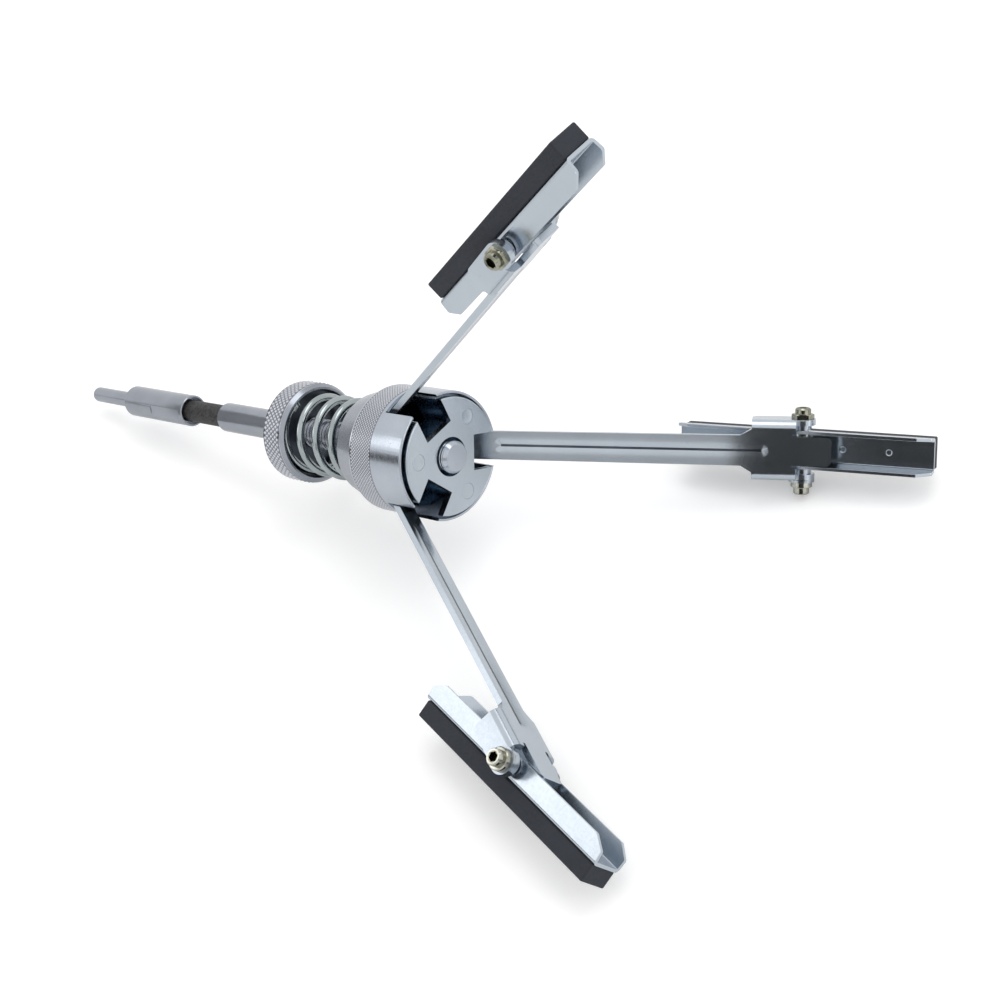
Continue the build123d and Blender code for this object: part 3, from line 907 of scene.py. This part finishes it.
@dataclass
class TensionGear:
    """The spring with its washer and the knurled nut that sets it.

    Sizes are in millimetres, and places along the spindle are forward of the front plate's face.
    """

    nut_front: float = -79.0
    nut_rear: float = -91.9
    nut_radius: float = 21.2
    nut_bore: float = 6.4
    rim_depth: float = 1.58
    dish_radius: float = 18.5
    dish_floor: float = -84.5
    knurl_depth: float = 0.42
    washer_front: float = -83.0
    collar_rear: float = -37.8
    coil_radius: float = 15.6
    wire_radius: float = 1.65
    wire_sides: int = 16
    coil_pitch: float = 9.9
    coil_start: float = -84.65
    seam_turns: float = 2.5

    def build(self) -> None:
        """Build the nut and the spring and dress the washer."""
        self.nut()
        self.spring()
        # Painted shade: the washer in the nut's dish gets the near-black shade zinc.
        dress(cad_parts["spring_washer"], Finish.RECESS_ZINC)

    def nut(self) -> None:
        """Turn the nut, with a knurled rim, a smooth chamfer and a dished front."""
        front, rear, bore, dish = self.nut_front, self.nut_rear, self.nut_bore, self.dish_radius
        valley = self.nut_radius - self.knurl_depth
        low, high = rear + 0.9, front - 1.9
        outline = [
            (bore, rear + 0.8), (bore + 0.8, rear), (valley - 0.8, rear), (valley, low), (valley, high),
            (valley, high + 0.3), (self.nut_radius - 1.7, front), (dish + 0.1, front), (dish, front - 0.3),
            (dish, self.dish_floor), (bore + 0.6, self.dish_floor), (bore, self.dish_floor - 0.6),
        ]
        nut = lathe("adjusting_nut_knurled", outline, segments=62)
        cut_knurl(nut, valley, low, high, rows=4, depth=self.knurl_depth)
        set_down(nut, SPINDLE, smooth=14)
        hand_over(nut, Finish.KNURLED_ZINC, "nut", "adjusting_nut")
        # Painted shade: the inside of the dished front is near-black, where it lies in shade.
        paint_faces(nut, Finish.RECESS_ZINC, self.in_dish)
        paint_faces(nut, Finish.SHAFT_ZINC, self.on_rim)

    def in_dish(self, face: Face) -> bool:
        """Whether a face of the nut lies inside its dished front."""
        radius, along = middle_of(face)
        return radius < self.dish_radius + 0.02 and along > self.dish_floor - 0.7

    def on_rim(self, face: Face) -> bool:
        """Whether a face of the nut lies on the smooth rim in front of the knurl."""
        return middle_of(face)[1] > self.nut_front - self.rim_depth and not self.in_dish(face)

    def spring(self) -> None:
        """Wind the spring in two lengths that meet at a seam, one at the washer and one at the collar."""
        turns = (self.collar_rear - self.coil_start) / self.coil_pitch + 0.12
        self.coil("spring_rear_coils", 0.0, self.seam_turns, "spring_washer")
        self.coil("spring_front_coils", self.seam_turns, turns, "collar")

    def coil(self, name: str, first: float, last: float, body: str) -> None:
        """Wind one length of the spring and grind it flat at its seat.

        Args:
            name: The piece's name.
            first: The turn it starts at.
            last: The turn it ends at.
            body: The body at its seat, named only in the log.
        """
        turns = [step * 2 * math.pi / self.wire_sides for step in range(self.wire_sides)]
        wire = self.wire_radius
        profile = [(self.coil_radius + wire * math.cos(turn), wire * math.sin(turn)) for turn in turns]
        spring = wind(name, profile, self.coil_pitch, last - first, steps=64)
        spring.data.transform(Matrix.Rotation(2 * math.pi * first, 4, "Z"))
        start = self.coil_start + first * self.coil_pitch
        for vertex in spring.data.vertices:
            height = vertex.co.z + start * MM
            vertex.co.z = min(max(height, self.washer_front * MM), self.collar_rear * MM)
        set_down(spring, SPINDLE, smooth=40)
        hand_between(spring, Finish.SPRING_ZINC, ("hub", body), "compression_spring")


@dataclass
class FlexibleDrive:
    """The covered cable between the shaft and the ferrule, and the shank that a drill holds.

    Sizes are in millimetres, and places along the spindle are forward of the front plate's face.
    """

    shaft_rear: float = -144.2
    ferrule_front: float = -169.9
    core_bore: float = 0.4
    core_radius: float = 3.3
    core_depth: float = 15.0
    sleeve_radius: float = 4.9
    sleeve_lap: float = 6.0
    rib_depth: float = 0.1
    rings: int = 24

    def build(self) -> None:
        """Build the cable and its covering in two halves each, and dress the ferrule and the shank."""
        front, rear = self.shaft_rear, self.ferrule_front
        middle = (front + rear) / 2
        for half, bodies, bend, core_end, sleeve_end in (
            ("front", ("hub", "cable"), (front, middle), front + self.core_depth, front),
            ("rear", ("cable", "drive_end"), (middle, rear), rear - self.core_depth, rear - self.sleeve_lap),
        ):
            inner, outer, rib = self.core_radius, self.sleeve_radius, self.rib_depth
            core = self.tube(f"cable_core_{half}", self.core_bore, inner, core_end, middle)
            sleeve = self.tube(f"cable_sleeve_{half}", inner, outer, sleeve_end, middle, rib)
            hand_between(core, Finish.CABLE_STEEL, bodies, "cable_core")
            hand_between(sleeve, Finish.SLEEVE, bodies, "cable_sleeve")
        rounded_copy("rear_ferrule", "rear_ferrule_crimped", 0.3, Finish.SHAFT_ZINC, "drive_end")
        dress(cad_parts["drill_shank"], Finish.SHAFT_ZINC)

    def tube(
        self, name: str, inner: float, outer: float, end: float, middle: float, rib: float = 0.0
    ) -> Piece:
        """Turn one half of the cable or its covering as a tube of many rings.

        Args:
            name: The piece's name.
            inner: Bore radius in millimetres.
            outer: Outside radius.
            end: The outer end's place on the spindle.
            middle: The place where both halves meet.
            rib: Depth of the covering's shallow ribs.

        Returns:
            The tube in the row frame.
        """
        low, high = min(end, middle), max(end, middle)
        outline = [(inner, high), (inner, (low + high) / 2), (inner, low)]
        for ring in range(self.rings + 1):
            outline.append((outer - rib * (ring % 2), low + (high - low) * ring / self.rings))
        tube = lathe(name, outline, segments=40)
        set_down(tube, SPINDLE, smooth=50)
        return tube


@dataclass
class StoneArm:
    """One arm with its yoke, screw, nut and washers, its stone holder and its stone.

    Sizes are in millimetres. The pivot is where the holder's screw crosses the yoke.
    """

    arm: Arm
    pivot_radius: float = 103.457047
    pivot_front: float = 89.415011
    open_angle: float = 35.0
    half_yoke: float = 11.9
    washer: float = 1.0
    screw_radius: float = 2.5
    screw_end: float = 2.0
    head_height: float = 5.0
    head_radius: float = 4.2
    cap_radius: float = 3.1
    cap_height: float = 2.7
    nut_height: float = 4.3
    nut_flats: float = 7.6
    foot_height: float = 1.9
    screw_socket: float = 1.65
    nut_socket: float = 1.7
    socket_limit: float = 2.0

    @property
    def tag(self) -> str:
        """The arm's name in the new pieces' names."""
        return self.arm.name.lower()

    def screw_place(self) -> Matrix:
        """The screw's frame in the row frame: Z from the head to the tip.

        Returns:
            The matrix from the screw's frame to the row frame.
        """
        return (
            SPINDLE
            @ self.arm.azimuth
            @ Matrix.Translation((self.pivot_radius * MM, 0, self.pivot_front * MM))
            @ Matrix.Rotation(math.radians(self.open_angle), 4, "Y")
            @ Matrix.Rotation(math.radians(-90), 4, "X")
        )

    def build(self) -> None:
        """Round the strip, the holder and the stone, dress the washers and turn the screw and the nut."""
        number, plated = self.arm.number, Finish.PRESSED_ZINC
        body, holder, stone = f"arm_{number}", f"holder_{number}", f"honing_stone_{number}"
        strip = rounded_copy(body, f"{self.tag}_arm_strip", 0.28, plated, body, crease=1.0)
        # Painted shade: a dark line along the bottom of the strip's groove.
        paint_faces(strip, Finish.RECESS_ZINC, self.in_valley)
        rounded_copy(f"stone_holder_{number}", f"{self.tag}_stone_channel", 0.22, plated, holder)
        stick = f"{self.tag}_abrasive_stick"
        rounded_copy(stone, stick, 0.7, Finish.STONE, holder, angle=20.0)
        for node in ("head_washer", "pivot_spacers"):
            dress(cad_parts[f"{node}_{number}"], Finish.ZINC)
        self.screw()
        self.nut()

    def in_valley(self, face: Face) -> bool:
        """Whether a face of the strip is the narrow flat along the bottom of its groove, where shade is
        painted.

        Args:
            face: A face of the strip in the row frame.

        Returns:
            True for a long narrow face that looks in towards the spindle.
        """
        opening = math.radians(self.open_angle)
        inwards = Vector((-math.cos(opening), 0, math.sin(opening)))
        inwards = (SPINDLE @ self.arm.azimuth).to_3x3() @ inwards
        is_long = max(edge.calc_length() for edge in face.edges) > LONG_EDGE
        return face.normal.dot(inwards) > 0.999 and is_long and face.calc_area() < 3 * LARGE_FACE

    def press_hexagon(self, piece: Piece, flats: float, wanted: Callable[[float, float], bool]) -> None:
        """Press the round rings of a turned piece into a hexagon, and set it down on the screw's axis.

        Args:
            piece: The piece on the Z axis.
            flats: Half the hexagon's width over its flats in millimetres.
            wanted: Tells from a vertex's radius and height whether it belongs to the hexagon.
        """
        for vertex in piece.data.vertices:
            if wanted(*radius_height(vertex.co)):
                vertex.co.xy = vertex.co.xy.normalized() * flats * MM / math.cos(off_flat(vertex.co))
        set_down(piece, self.screw_place(), smooth=24)

    def paint_socket_shade(self, piece: Piece, low: float, high: float) -> None:
        """Paint shade into the inside of a hexagon socket, as a near-black steel.

        Args:
            piece: The screw or the nut in its place.
            low: Where the socket starts along the screw in millimetres.
            high: Where it ends.
        """
        to_screw = self.screw_place().inverted()

        def inside(face: Face) -> bool:
            """Whether a face lies in the socket."""
            radius, along = radius_height(to_screw @ face.calc_center_median())
            return radius < self.socket_limit and low < along < high

        paint_faces(piece, Finish.SOCKET_STEEL, inside)

    def screw(self) -> None:
        """Turn the screw with its shouldered head and press in the hexagon socket."""
        seat = -(self.half_yoke + self.washer)
        top = seat - self.head_height
        shoulder = top + self.cap_height
        cap, head = self.cap_radius, self.head_radius
        outline = [
            (1.7, top + 2.4), (1.7, top + 0.2), (2.1, top), (cap - 0.4, top), (cap, top + 0.45),
            (cap, shoulder), (head - 0.4, shoulder), (head, shoulder + 0.35), (head, seat - 0.2),
            (head - 0.2, seat), (self.screw_radius, seat),
            (self.screw_radius, self.half_yoke + self.screw_end),
        ]
        screw = lathe(f"{self.tag}_socket_screw", outline, segments=72, closed=False)
        self.press_hexagon(
            screw, self.screw_socket, lambda radius, height: radius < 1.75 and height < seat - 1
        )
        number = self.arm.number
        hand_over(screw, Finish.SCREW_STEEL, f"arm_{number}", f"pivot_screw_{number}")
        self.paint_socket_shade(screw, top + 0.25, top + 2.5)

    def nut(self) -> None:
        """Turn the shouldered nut, with a hexagon foot and a hexagon socket in its domed end."""
        low = self.half_yoke
        high = low + self.nut_height
        shoulder = low + self.foot_height
        flat = self.nut_flats / 2
        corner = flat / math.cos(math.pi / 6)
        cap = self.cap_radius
        outline = [
            (0.6, low), (corner, low), (corner, shoulder - 0.25), (corner - 0.35, shoulder),
            (cap, shoulder), (cap, high - 0.7), (cap - 0.5, high - 0.1), (2.2, high), (1.75, high - 0.3),
            (1.75, high - 1.7), (0.6, high - 1.7),
        ]
        nut = lathe(f"{self.tag}_hexagon_nut", outline, segments=72)
        for vertex in nut.data.vertices:
            radius = vertex.co.xy.length / MM
            limit = flat / math.cos(off_flat(vertex.co))
            if radius > limit:
                vertex.co.xy *= limit / radius
        self.press_hexagon(
            nut, self.nut_socket, lambda radius, height: 1.0 < radius < 1.8 and height > shoulder
        )
        number = self.arm.number
        hand_over(nut, Finish.YELLOW_ZINC, f"arm_{number}", f"pivot_nut_{number}")
        self.paint_socket_shade(nut, high - 1.8, high - 0.35)


@dataclass(frozen=True)
class Card:
    """A matt card that only reflections see, set off from a place on the hone that mirrors it.

    Sizes are in metres. The card faces the place, slid along the direction in which its width runs.
    """

    name: str
    tone: float
    place: Point
    off: Point
    distance: float
    width: float
    height: float
    slide: float = 0.0
    along: Point = (0.85674, 0.49673, -0.13879)

    def stand(self) -> None:
        """Stand the card in its place."""
        start_fresh()
        bpy.ops.mesh.primitive_plane_add(size=1.0)
        card = bpy.context.object
        card.name = card.data.name = self.name
        along = Vector(self.along)
        facing = Vector(self.place) + self.slide * along
        middle = facing + self.distance * Vector(self.off)
        normal = (facing - middle).normalized()
        side = (along - along.dot(normal) * normal).normalized()
        turn = Matrix((side, normal.cross(side), normal)).transposed().to_4x4()
        size = Matrix.Diagonal((self.width, self.height, 1, 1))
        set_down(card, Matrix.Translation(middle) @ turn @ size)
        card.data.materials.append(CardFinish(f"{self.name}_matt", self.tone).make())
        card.visible_camera = card.visible_diffuse = card.visible_shadow = False


@dataclass
class Studio:
    """A white sweep, soft lamps, dark cards that plated metal reflects, and the photograph's camera."""

    floor_size: float = 6.0
    lit_place: Point = (0.03, 0.0, 0.05)
    cards: tuple[Card, ...] = (
        Card(
            "right_yoke_card", 0.02, (0.1469, 0.0896, 0.0175), (0.508, -0.789, 0.346),
            distance=0.16, width=0.08, height=0.085, slide=0.015,
        ),
        Card(
            "right_holder_card", 0.055, (0.180, 0.1085, 0.0125), (0.062, -0.936, 0.346),
            distance=0.09, width=0.085, height=0.07, slide=0.012,
        ),
        Card(
            "right_strip_card", 0.55, (0.090, 0.0517, 0.0343), (0.412, -0.833, 0.362),
            distance=0.30, width=0.24, height=0.08, slide=-0.02,
        ),
        Card(
            "cup_card", 0.06, (0.04, -0.02, 0.065), (-0.775, -0.615, 0.115),
            distance=0.9, width=0.5, height=0.15, along=(1, 0, 0),
        ),
        Card(
            "shaft_card", 0.42, (-0.0724, -0.004, 0.036), (-0.863, -0.399, 0.309),
            distance=0.10, width=0.07, height=0.10, along=(1, 0, 0),
        ),
    )

    def build(self) -> None:
        """Build the studio round the hone."""
        self.camera()
        self.world()
        self.floor()
        self.lamp("key_softbox", (-0.73, -0.54, 0.51), 0.36, 0.30, 0.38)
        self.lamp("top_softbox", (0.15, 0.35, 1.15), 0.8, 0.5, 1.9)
        self.lamp("side_strip", (0.95, 0.15, 0.35), 0.25, 0.7, 0.8)
        for card in self.cards:
            card.stand()

    def camera(self) -> None:
        """Set the photograph's camera."""
        lens = bpy.data.cameras.new("photo_camera")
        lens.lens = 62.63
        lens.sensor_width = 36.0
        lens.clip_start = 0.01
        lens.clip_end = 50.0
        camera = bpy.data.objects.new("photo_camera", lens)
        bpy.context.collection.objects.link(camera)
        right = Vector((0.75808, 0.60863, -0.23430)).normalized()
        back = Vector((0.59265, -0.49297, 0.63698)).normalized()
        up = back.cross(right).normalized()
        turn = Matrix((up.cross(back), up, back)).transposed().to_4x4()
        camera.matrix_world = Matrix.Translation((0.46534, -0.32890, 0.46227)) @ turn
        bpy.context.scene.camera = camera

    def world(self) -> None:
        """Light softly from all round, and show plain white to the camera and to reflections."""
        world = bpy.data.worlds.new("studio_world")
        bpy.context.scene.world = world
        world.use_nodes = True
        sheet = NodeSheet(world.node_tree)
        path = sheet.add("ShaderNodeLightPath").outputs
        seen = sheet.work_out("MAXIMUM", path["Is Camera Ray"], path["Is Glossy Ray"])
        white = sheet.work_out("MAXIMUM", seen, path["Is Transmission Ray"])
        strength = sheet.remap(white, 0.0, 1.0, 0.92, 1.0)
        light = sheet.add("ShaderNodeBackground", {"Color": (1.0, 1.0, 1.0, 1.0), "Strength": strength})
        sheet.add("ShaderNodeOutputWorld", {"Surface": light.outputs["Background"]})

    def floor(self) -> None:
        """Lay a pale floor that keeps the hone's shadow."""
        start_fresh()
        bpy.ops.mesh.primitive_circle_add(vertices=96, radius=self.floor_size / 2, fill_type="NGON")
        floor = bpy.context.object
        floor.name = floor.data.name = "studio_floor"
        floor.data.materials.append(FloorFinish("white_floor").make())

    def lamp(self, name: str, place: Point, width: float, height: float, power: float) -> None:
        """Hang a soft lamp that points at the hub.

        Args:
            name: The lamp's name.
            place: Its place in metres.
            width: Its width in metres.
            height: Its height in metres.
            power: Its power in watts.
        """
        light = bpy.data.lights.new(name, "AREA")
        light.shape = "RECTANGLE"
        light.size, light.size_y = width, height
        light.energy = power
        lamp = bpy.data.objects.new(name, light)
        bpy.context.collection.objects.link(lamp)
        lamp.location = place
        lamp.rotation_euler = (Vector(self.lit_place) - Vector(place)).to_track_quat("-Z", "Y").to_euler()


def main() -> None:
    """Build the studio, the finishes and the hone."""
    logging.basicConfig(level=logging.INFO, format="%(message)s")
    bpy.context.scene.view_settings.view_transform = "Standard"
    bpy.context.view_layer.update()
    Studio().build()
    plating_group()
    grit_group()
    for finish in Finish:
        finish.value.make()
    for assembly in (Spindle(), TensionGear(), FlexibleDrive(), *map(StoneArm, Arm)):
        assembly.build()
    start_fresh()


if __name__ == "__main__":
    main()
